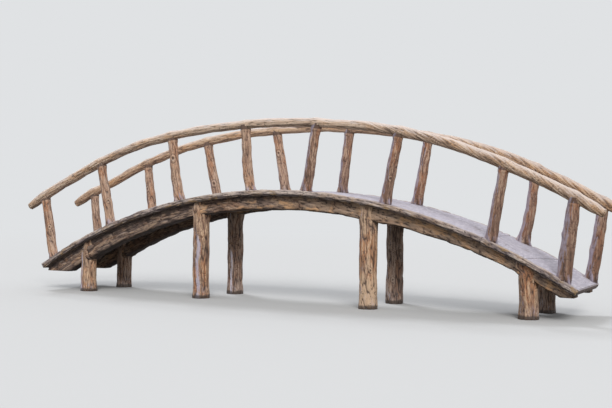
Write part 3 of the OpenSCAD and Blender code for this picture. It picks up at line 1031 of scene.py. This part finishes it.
# %% [markdown]
# The finishes share a few effects, so each effect is a node group that is built once. A
# helper makes a group with named sockets, and a few short helpers wire nodes up.

# %% Node helpers
def level(value):
    """One channel of a colour as a screen shows it, 0 to 255, in the linear values of shaders."""
    c = value / 255
    return c / 12.92 if c <= 0.04045 else ((c + 0.055) / 1.055) ** 2.4


def colour(red, green, blue):
    return (level(red), level(green), level(blue), 1.0)


def feed(tree, socket, value):
    """Links an output to a socket, or sets the socket to a plain value."""
    if isinstance(value, bpy.types.NodeSocket):
        tree.links.new(value, socket)
    else:
        socket.default_value = value


def maths(tree, operation, a, b=0.0, clamp=False):
    node = tree.nodes.new("ShaderNodeMath")
    node.operation, node.use_clamp = operation, clamp
    feed(tree, node.inputs[0], a)
    feed(tree, node.inputs[1], b)
    return node.outputs[0]


def times(tree, a, b):
    return maths(tree, "MULTIPLY", a, b)


def squeeze(tree, vector, factors):
    """Scales coordinates, which stretches the noise that reads them where a factor is small."""
    node = tree.nodes.new("ShaderNodeVectorMath")
    node.operation = "MULTIPLY"
    feed(tree, node.inputs[0], vector)
    feed(tree, node.inputs[1], factors)
    return node.outputs[0]


def ramp(tree, value, low, high):
    """0 where value is low, 1 where it is high, and an eased slope between."""
    node = tree.nodes.new("ShaderNodeMapRange")
    node.interpolation_type = "SMOOTHSTEP"
    for socket, given in zip(("Value", "From Min", "From Max"), (value, low, high)):
        feed(tree, node.inputs[socket], given)
    return node.outputs["Result"]


def mix(tree, factor, a, b):
    node = tree.nodes.new("ShaderNodeMix")
    node.data_type = "RGBA"
    feed(tree, node.inputs["Factor"], factor)
    colour_inputs = [s for s in node.inputs if s.type == "RGBA"]
    feed(tree, colour_inputs[0], a)
    feed(tree, colour_inputs[1], b)
    return [s for s in node.outputs if s.type == "RGBA"][0]


def noise_value(tree, vector, scale, detail=4.0, roughness=0.6):
    node = tree.nodes.new("ShaderNodeTexNoise")
    for label, value in (("Vector", vector), ("Scale", scale), ("Detail", detail), ("Roughness", roughness)):
        feed(tree, node.inputs[label], value)
    return node.outputs["Fac"]


def new_group(name, inputs, outputs):
    """A shader node group. inputs is [(name, type, value)], and outputs [(name, type)]."""
    tree = bpy.data.node_groups.new(name, "ShaderNodeTree")
    for label, kind, value in inputs:
        socket = tree.interface.new_socket(label, in_out="INPUT", socket_type="NodeSocket" + kind)
        if value is not None:
            socket.default_value = value
    for label, kind in outputs:
        tree.interface.new_socket(label, in_out="OUTPUT", socket_type="NodeSocket" + kind)
    return tree, tree.nodes.new("NodeGroupInput").outputs, tree.nodes.new("NodeGroupOutput").inputs


def use(tree, group, **values):
    """Places a group in a material. Underscores in the names stand for spaces."""
    node = tree.nodes.new("ShaderNodeGroup")
    node.node_tree = bpy.data.node_groups[group]
    for label, value in values.items():
        feed(tree, node.inputs[label.replace("_", " ")], value)
    return node.outputs


# %% [markdown]
# Stained cement keeps the look of wood in streaks along the log. The crests of the bark are
# rubbed pale, its flanks keep the body colour, and the furrows hold the dark stain. Noise
# that is squeezed along the grain breaks these up, slower noise warms some stretches, and
# the tone that was painted on the mesh darkens or bleaches what the photograph shows so.

# %% Bark colour
def build_bark_colour():
    tree, given, out = new_group(
        "bark colour",
        [("Grain", "Vector", None), ("Groove", "Float", 0.0), ("Rib", "Float", 0.0), ("Tone", "Float", 0.0),
         ("Dark", "Color", colour(80, 60, 50)), ("Body", "Color", colour(150, 118, 96)),
         ("Light", "Color", colour(212, 184, 156)), ("Warm", "Color", colour(172, 116, 74)),
         ("Dirt", "Color", colour(52, 42, 40)), ("Warmth", "Float", 0.8)],
        [("Color", "Color"), ("Height", "Float")])
    along = squeeze(tree, given["Grain"], (1, 1, 0.12))
    fibres = noise_value(tree, along, 90, 5, 0.72)
    streaks = noise_value(tree, along, 30, 4)
    drift = noise_value(tree, squeeze(tree, given["Grain"], (1, 1, 0.4)), 7, 4)
    stained = mix(tree, ramp(tree, fibres, 0.36, 0.54), given["Dark"], given["Body"])
    warm = times(tree, ramp(tree, drift, 0.46, 0.6), given["Warmth"])
    warmed = mix(tree, times(tree, warm, ramp(tree, fibres, 0.34, 0.5)), stained, given["Warm"])
    crest = maths(tree, "ADD", times(tree, given["Rib"], 0.5), streaks)
    pale = times(tree, ramp(tree, crest, 0.68, 0.98), ramp(tree, fibres, 0.4, 0.58))
    rubbed = mix(tree, pale, warmed, given["Light"])
    uneven = times(tree, maths(tree, "SUBTRACT", streaks, 0.5), 1.2)
    swing = times(tree, uneven, maths(tree, "ABSOLUTE", given["Tone"]))
    tone = maths(tree, "ADD", given["Tone"], swing)
    bleached = mix(tree, maths(tree, "MULTIPLY", tone, 0.8, clamp=True), rubbed, given["Light"])
    toned = mix(tree, maths(tree, "MULTIPLY", tone, -0.85, clamp=True), bleached, given["Dark"])
    dirt = times(tree, ramp(tree, given["Groove"], 0.12, 0.8), 0.85)
    feed(tree, out["Color"], mix(tree, dirt, toned, given["Dirt"]))
    feed(tree, out["Height"], maths(tree, "ADD", fibres, times(tree, streaks, 0.7)))


build_bark_colour()

# %% [markdown]
# Two effects lie over the stain. The first is a lavender grey that is broken up by the grain: partly lime
# that has run down and dried, and partly painted cool skylight on the sides that face left and up. The top
# of the deck has lost its stain to feet and shows the bare cement, with scuffs across it, brown clouds, and
# dark cracks.

# %% Lime with painted skylight, and bare cement
def build_lime_and_skylight():
    tree, given, out = new_group(
        "lime",
        [("Color", "Color", None), ("Grain", "Vector", None), ("Lime", "Float", 0.0),
         ("Wash", "Color", colour(170, 161, 176))],
        [("Color", "Color")])
    along = squeeze(tree, given["Grain"], (1, 1, 0.22))
    broken = maths(tree, "SUBTRACT", noise_value(tree, along, 42, 5, 0.7), 0.5)
    thick = times(tree, given["Lime"], 0.9)
    mask = ramp(tree, maths(tree, "ADD", thick, times(tree, broken, 2.4)), 0.3, 1.0)
    mask = times(tree, mask, ramp(tree, given["Lime"], 0.05, 0.3))
    # The lavender grey: lime, and painted cool skylight on the sides that face left and up
    feed(tree, out["Color"], mix(tree, times(tree, mask, 0.9), given["Color"], given["Wash"]))


def build_cement_top():
    tree, given, out = new_group(
        "cement top",
        [("Color", "Color", None), ("Grain", "Vector", None), ("Bare", "Float", 0.0),
         ("Groove", "Float", 0.0), ("Tone", "Float", 0.0), ("Cement", "Color", colour(172, 168, 181)),
         ("Pale", "Color", colour(196, 192, 202)), ("Stain", "Color", colour(128, 112, 108)),
         ("Crack", "Color", colour(84, 74, 76))],
        [("Color", "Color")])
    clouds = noise_value(tree, given["Grain"], 5, 6, 0.7)
    scuffs = noise_value(tree, squeeze(tree, given["Grain"], (1, 0.35, 1.6)), 26, 5, 0.7)
    top = mix(tree, ramp(tree, scuffs, 0.45, 0.66), given["Cement"], given["Pale"])
    stains = maths(tree, "SUBTRACT", clouds, times(tree, given["Tone"], 0.25))
    stained = mix(tree, times(tree, ramp(tree, stains, 0.54, 0.7), 0.65), top, given["Stain"])
    cracks = times(tree, ramp(tree, given["Groove"], 0.15, 0.9), 0.8)
    cracked = mix(tree, cracks, stained, given["Crack"])
    edge = maths(tree, "ADD", given["Bare"], maths(tree, "SUBTRACT", scuffs, 0.5))
    feed(tree, out["Color"], mix(tree, ramp(tree, edge, 0.3, 0.75), given["Color"], cracked))


build_lime_and_skylight()
build_cement_top()

# %% [markdown]
# Three more effects change the colours. Patches of another colour lie here and there. What faces the sky is
# made paler, partly by sun bleaching and partly as painted skylight, and what faces down is darkened as
# painted shade. A damp foot is dark and shiny up to an uneven line, which is read from the height in the
# object's own coordinates.

# %% Patches, bleaching with painted light and shade, and damp
def build_patches():
    tree, given, out = new_group(
        "patches",
        [("Color", "Color", None), ("Grain", "Vector", None), ("Patch", "Color", None),
         ("Scale", "Float", 4.0), ("Squeeze", "Vector", (1, 1, 1)), ("Low", "Float", 0.5),
         ("High", "Float", 0.6), ("Amount", "Float", 1.0)],
        [("Color", "Color")])
    spots = noise_value(tree, squeeze(tree, given["Grain"], given["Squeeze"]), given["Scale"], 5, 0.5)
    mask = times(tree, ramp(tree, spots, given["Low"], given["High"]), given["Amount"])
    feed(tree, out["Color"], mix(tree, mask, given["Color"], given["Patch"]))


def build_bleach_and_light():
    tree, given, out = new_group(
        "bleach and painted light",
        [("Color", "Color", None), ("Sky", "Float", 0.0), ("Grain", "Vector", None),
         ("Bleached", "Color", colour(196, 180, 168)), ("Bleaching", "Float", 0.7),
         ("Shaded", "Color", colour(60, 47, 42)), ("Shading", "Float", 0.5)],
        [("Color", "Color")])
    along = squeeze(tree, given["Grain"], (1, 1, 0.3))
    blotches = maths(tree, "SUBTRACT", noise_value(tree, along, 24, 5, 0.65), 0.5)
    turned = maths(tree, "ADD", given["Sky"], times(tree, blotches, 1.1))
    # Paler where a point faces the sky: partly sun bleaching, partly painted skylight
    top = times(tree, ramp(tree, turned, 0.1, 0.8), given["Bleaching"])
    # Darker where it faces down: painted shade
    under = times(tree, ramp(tree, turned, -0.2, -0.8), given["Shading"])
    bleached = mix(tree, top, given["Color"], given["Bleached"])
    feed(tree, out["Color"], mix(tree, under, bleached, given["Shaded"]))


def build_damp_foot():
    tree, given, out = new_group(
        "damp foot",
        [("Color", "Color", None), ("Position", "Vector", None), ("Wet", "Color", colour(56, 44, 38)),
         ("Line", "Float", 0.035)],
        [("Color", "Color"), ("Mask", "Float")])
    split = tree.nodes.new("ShaderNodeSeparateXYZ")
    feed(tree, split.inputs[0], given["Position"])
    uneven = times(tree, noise_value(tree, given["Position"], 16, 4), 0.05)
    height = maths(tree, "SUBTRACT", split.outputs["Z"], uneven)
    mask = ramp(tree, maths(tree, "SUBTRACT", given["Line"], height), 0.0, 0.03)
    feed(tree, out["Color"], mix(tree, times(tree, mask, 0.85), given["Color"], given["Wet"]))
    feed(tree, out["Mask"], mask)


build_patches()
build_bleach_and_light()
build_damp_foot()
print("node groups:", [g.name for g in bpy.data.node_groups])

# %% [markdown]
# Each finish starts from the same few inputs: the straightened coordinates that the piece kept as "grain",
# the painted values, and how much a point faces the sky. The groups paint over each other in layers, from
# the stain up to the lime.

# %% Common inputs and the surface
BUMP_STRENGTH, BUMP_DEPTH = 0.4, 0.004


def attribute(tree, name, output="Fac"):
    node = tree.nodes.new("ShaderNodeAttribute")
    node.attribute_name = name
    return node.outputs[output]


def start(material, **colours):
    """The material's node tree, its grain, and its bark in the given colours."""
    tree = bpy.data.materials[material].node_tree
    grain = attribute(tree, "grain", "Vector")
    bark = use(tree, "bark colour", Grain=grain, Groove=attribute(tree, "groove"),
               Rib=attribute(tree, "rib"), Tone=attribute(tree, "tone"), **colours)
    return tree, grain, bark


def add_lime_and_skylight(tree, base, grain, lavender_grey):
    return use(tree, "lime", Color=base, Grain=grain, Lime=attribute(tree, "lime"), Wash=lavender_grey)["Color"]


# Paler tops, partly sun bleaching and partly painted skylight, and painted shade on what faces down
def add_bleach_and_light(tree, base, grain, **values):
    return use(tree, "bleach and painted light", Color=base, Sky=attribute(tree, "sky"), Grain=grain, **values)["Color"]


def surface(tree, base, roughness, height):
    shader = tree.nodes["Principled BSDF"]
    feed(tree, shader.inputs["Base Color"], base)
    feed(tree, shader.inputs["Roughness"], roughness)
    node = tree.nodes.new("ShaderNodeBump")
    node.inputs["Strength"].default_value = BUMP_STRENGTH
    node.inputs["Distance"].default_value = BUMP_DEPTH
    feed(tree, node.inputs["Height"], height)
    tree.links.new(node.outputs["Normal"], shader.inputs["Normal"])


# %% [markdown]
# Posts are brown with pale tan ribs, a few orange stretches, lavender grey on the side that faces left and
# up, partly lime and partly painted cool skylight, and a dark, damp band round the foot. The back row is
# greyer and a little darker: painted shade, as it stands in the shade of the slab.

# %% Post finish
def post_finish(material, lavender_grey, **colours):
    tree, grain, bark = start(material, **colours)
    # Lime with painted skylight, then paler tops and painted shade beneath
    bleached_and_lit = add_bleach_and_light(tree, add_lime_and_skylight(tree, bark["Color"], grain, lavender_grey), grain)
    position = tree.nodes.new("ShaderNodeTexCoord").outputs["Object"]
    damp = use(tree, "damp foot", Color=bleached_and_lit, Position=position)
    roughness = maths(tree, "SUBTRACT", 0.9, times(tree, damp["Mask"], 0.45))
    surface(tree, damp["Color"], roughness, bark["Height"])


# The first colour is the lavender grey: lime, and painted cool skylight on the sides that face left and up
post_finish(POST, colour(194, 188, 205), Dark=colour(118, 93, 82), Body=colour(164, 132, 112),
            Light=colour(218, 188, 159), Warm=colour(190, 132, 91), Dirt=colour(70, 56, 52))
# The back row: a greyer, darker copy of the post finish, which is painted shade
post_finish(SHADED_POST, colour(218, 213, 226), Dark=colour(102, 85, 79), Body=colour(160, 136, 124),
            Light=colour(200, 176, 160), Warm=colour(166, 126, 102), Dirt=colour(62, 52, 50))

# %% [markdown]
# Balusters are a warm brown, and lavender grey on the side that faces left and up, partly lime and partly
# painted cool skylight. The handrails are paler: their tops are a grey beige, partly bleached by the sun and
# partly painted skylight, and their undersides are painted a darker brown as shade.

# %% Baluster and handrail finishes
def baluster_finish():
    tree, grain, bark = start(BALUSTER, Dark=colour(112, 86, 74), Body=colour(156, 122, 103),
                              Light=colour(206, 176, 153), Warm=colour(180, 124, 88),
                              Dirt=colour(80, 64, 58), Warmth=1.0)
    # Lavender grey: lime, and painted cool skylight on the side that faces left and up
    limed_and_skylit = add_lime_and_skylight(tree, bark["Color"], grain, colour(164, 155, 172))
    # Paler tops and painted shade beneath, in the group's own colours
    surface(tree, add_bleach_and_light(tree, limed_and_skylit, grain), 0.88, bark["Height"])


def rail_finish(material, bleaching, **colours):
    tree, grain, bark = start(material, **colours)
    # Grey beige tops, partly sun bleaching and partly painted skylight, and a brown painted shade underneath
    bleached_and_lit = add_bleach_and_light(tree, bark["Color"], grain, Bleached=colour(214, 202, 197),
                            Bleaching=bleaching, Shaded=colour(146, 118, 100), Shading=0.3)
    surface(tree, bleached_and_lit, 0.88, bark["Height"])


baluster_finish()
rail_finish(RAIL, 0.8, Dark=colour(150, 124, 107), Body=colour(192, 164, 142),
            Light=colour(228, 207, 186), Warm=colour(208, 166, 126), Dirt=colour(92, 76, 68), Warmth=0.8)
rail_finish(BACK_RAIL, 0.6, Dark=colour(146, 116, 96), Body=colour(190, 156, 128),
            Light=colour(220, 192, 162), Warm=colour(202, 156, 114), Dirt=colour(90, 70, 60), Warmth=0.9)

# %% [markdown]
# The bearers are darkest in the painted shade right under the slab, and carry tan patches elsewhere. Their
# undersides are painted nearly black as shade. The deck is pale, cool cement on top, and its underside is
# painted dark as shade. Its edges are browner and carry ochre patches.

# %% Bearer and deck finishes
def bearer_finish():
    tree, grain, bark = start(BEARER, Dark=colour(74, 63, 60), Body=colour(128, 108, 99),
                              Light=colour(184, 157, 134), Warm=colour(152, 114, 88), Warmth=0.7)
    rough = ramp(tree, bark["Height"], 0.72, 0.92)
    amount = times(tree, rough, ramp(tree, attribute(tree, "tone"), -0.4, 0.2))
    worn = use(tree, "patches", Color=bark["Color"], Grain=grain, Patch=colour(204, 163, 126),
               Scale=9.0, Squeeze=(1, 1, 0.7), Low=0.5, High=0.6, Amount=amount)
    # Undersides painted nearly black as shade; what faces up is paler, partly sun bleaching and partly
    # painted skylight
    bleached_and_lit = add_bleach_and_light(tree, worn["Color"], grain, Shaded=colour(42, 34, 32), Shading=0.75)
    surface(tree, bleached_and_lit, 0.92, bark["Height"])


def deck_finish():
    tree, grain, bark = start(DECK, Dark=colour(100, 89, 93), Body=colour(154, 140, 137),
                              Light=colour(210, 195, 184), Warm=colour(166, 138, 112),
                              Dirt=colour(67, 59, 60))
    ochre = use(tree, "patches", Color=bark["Color"], Grain=grain, Patch=colour(182, 150, 104),
                Scale=13.0, Squeeze=(1, 1, 0.5), Low=0.56, High=0.66, Amount=0.6)
    # Paler top, partly sun bleaching and partly painted skylight, and a dark underside: painted shade
    bleached_and_lit = add_bleach_and_light(tree, ochre["Color"], grain, Bleached=colour(178, 166, 160),
                            Bleaching=0.5, Shaded=colour(62, 52, 50), Shading=0.7)
    bare = use(tree, "cement top", Color=bleached_and_lit, Grain=grain, Bare=attribute(tree, "lime"),
               Groove=attribute(tree, "groove"), Tone=attribute(tree, "tone"))
    surface(tree, bare["Color"], 0.9, bark["Height"])


bearer_finish()
deck_finish()
for finish in FINISHES:
    print("%s: %d nodes" % (finish, len(bpy.data.materials[finish].node_tree.nodes)))

# %% [markdown]
# The stage: a wide pale floor under the feet of the posts, which fades into a pale sky for
# the camera only. The light that the floor sends up to the bridge is that of a dark floor,
# so the shadows under the slab stay deep. Both lamps are suns, so the floor is lit evenly,
# and its colour is worked out so that it looks the same as the sky.

# %% Stage
SKY_LEVEL = 224
SKY_COLOUR = colour(SKY_LEVEL, SKY_LEVEL + 2, SKY_LEVEL + 4)
SKY_LIGHT = 0.62
FLOOR_RADIUS, FLOOR_SEGMENTS = 60, 96
# The floor's colour for light that goes on to the bridge
FLOOR_SHADE = colour(96, 96, 92)
# The distances at which the floor starts to fade into the sky and is gone
FADE_START, FADE_END = 8, 30
# Each sun: where it stands in the sky from the bridge, its strength, its width and its tint
SUNS = {"front sun": ((6.0, -9.0, 8.5), 1.9, 24, (1.0, 0.97, 0.93)),
        "high sun": ((-7.0, 5.0, 10.0), 1.3, 16, (0.96, 0.97, 1.0))}


def floor_light():
    """How bright a white floor would be under the sky and the suns."""
    return SKY_LIGHT + sum(strength * Vector(place).normalized().z / math.pi
                           for place, strength, _, _ in SUNS.values())


def seen_directly(tree):
    """1 for the camera, and in mirrors and through glass, or else 0."""
    rays = tree.nodes.new("ShaderNodeLightPath").outputs
    return maths(tree, "MAXIMUM", rays["Is Camera Ray"],
                 maths(tree, "MAXIMUM", rays["Is Glossy Ray"], rays["Is Transmission Ray"]))


def blend_shaders(tree, factor, first, second, output):
    """Sends a mix of two shaders to an output node."""
    blend = tree.nodes.new("ShaderNodeMixShader")
    feed(tree, blend.inputs[0], factor)
    tree.links.new(first.outputs[0], blend.inputs[1])
    tree.links.new(second.outputs[0], blend.inputs[2])
    tree.links.new(blend.outputs[0], tree.nodes[output].inputs["Surface"])


def make_floor():
    bm = bmesh.new()
    bmesh.ops.create_circle(bm, cap_ends=True, segments=FLOOR_SEGMENTS, radius=FLOOR_RADIUS)
    floor = mesh_object(bm, "floor")
    material = bpy.data.materials.new("floor")
    material.use_nodes = True
    floor.data.materials.append(material)
    tree = material.node_tree
    seen = seen_directly(tree)
    shader = tree.nodes["Principled BSDF"]
    shader.inputs["Roughness"].default_value = 1.0
    shader.inputs["Specular IOR Level"].default_value = 0.0
    pale = tuple(c / floor_light() for c in SKY_COLOUR[:3]) + (1.0,)
    feed(tree, shader.inputs["Base Color"], mix(tree, seen, FLOOR_SHADE, pale))
    far = tree.nodes.new("ShaderNodeVectorMath")
    far.operation = "LENGTH"
    feed(tree, far.inputs[0], tree.nodes.new("ShaderNodeTexCoord").outputs["Object"])
    glow = tree.nodes.new("ShaderNodeEmission")
    glow.inputs["Color"].default_value = SKY_COLOUR
    fade = times(tree, ramp(tree, far.outputs["Value"], FADE_START, FADE_END), seen)
    blend_shaders(tree, fade, shader, glow, "Material Output")


def make_world():
    world = bpy.data.worlds.new("sky")
    bpy.context.scene.world = world
    world.use_nodes = True
    tree = world.node_tree
    background = tree.nodes["Background"]
    background.inputs["Color"].default_value = (1.0, 1.0, 1.0, 1.0)
    background.inputs["Strength"].default_value = SKY_LIGHT
    plain = tree.nodes.new("ShaderNodeBackground")
    plain.inputs["Color"].default_value = SKY_COLOUR
    blend_shaders(tree, seen_directly(tree), background, plain, "World Output")


def make_sun(name, place, strength, width, tint):
    lamp = bpy.data.lights.new(name, "SUN")
    lamp.energy, lamp.angle, lamp.color = strength, math.radians(width), tint
    light = bpy.data.objects.new(name, lamp)
    light.location = place
    light.rotation_euler = (-Vector(place)).to_track_quat("-Z", "Y").to_euler()
    bpy.context.scene.collection.objects.link(light)


make_floor()
make_world()
for name, sun in SUNS.items():
    make_sun(name, *sun)
print("a white floor would be lit to %.2f" % floor_light())

# %% [markdown]
# The camera stands where the photograph was taken from. Its place, its direction and its
# focal length were fitted to the arcs of the deck and the handrails, which fix them well.

# %% Camera
CAMERA_AT = (5.93, -11.105, 1.2385)
YAW, PITCH, ROLL = -0.4786, -0.0006, 0.0115
FOCAL_LENGTH, SENSOR = 58.045, 36.0

lens = bpy.data.cameras.new("camera")
lens.lens, lens.sensor_width = FOCAL_LENGTH, SENSOR
camera = bpy.data.objects.new("camera", lens)
turn = (Matrix.Rotation(-YAW, 4, "Z") @ Matrix.Rotation(math.pi / 2 + PITCH, 4, "X")
        @ Matrix.Rotation(ROLL, 4, "Z"))
camera.matrix_world = Matrix.Translation(CAMERA_AT) @ turn
bpy.context.scene.collection.objects.link(camera)
bpy.context.scene.camera = camera
bpy.context.scene.view_settings.view_transform = "Standard"
print("the camera stands %.2f m from the middle of the bridge" % math.hypot(*CAMERA_AT[:2]))
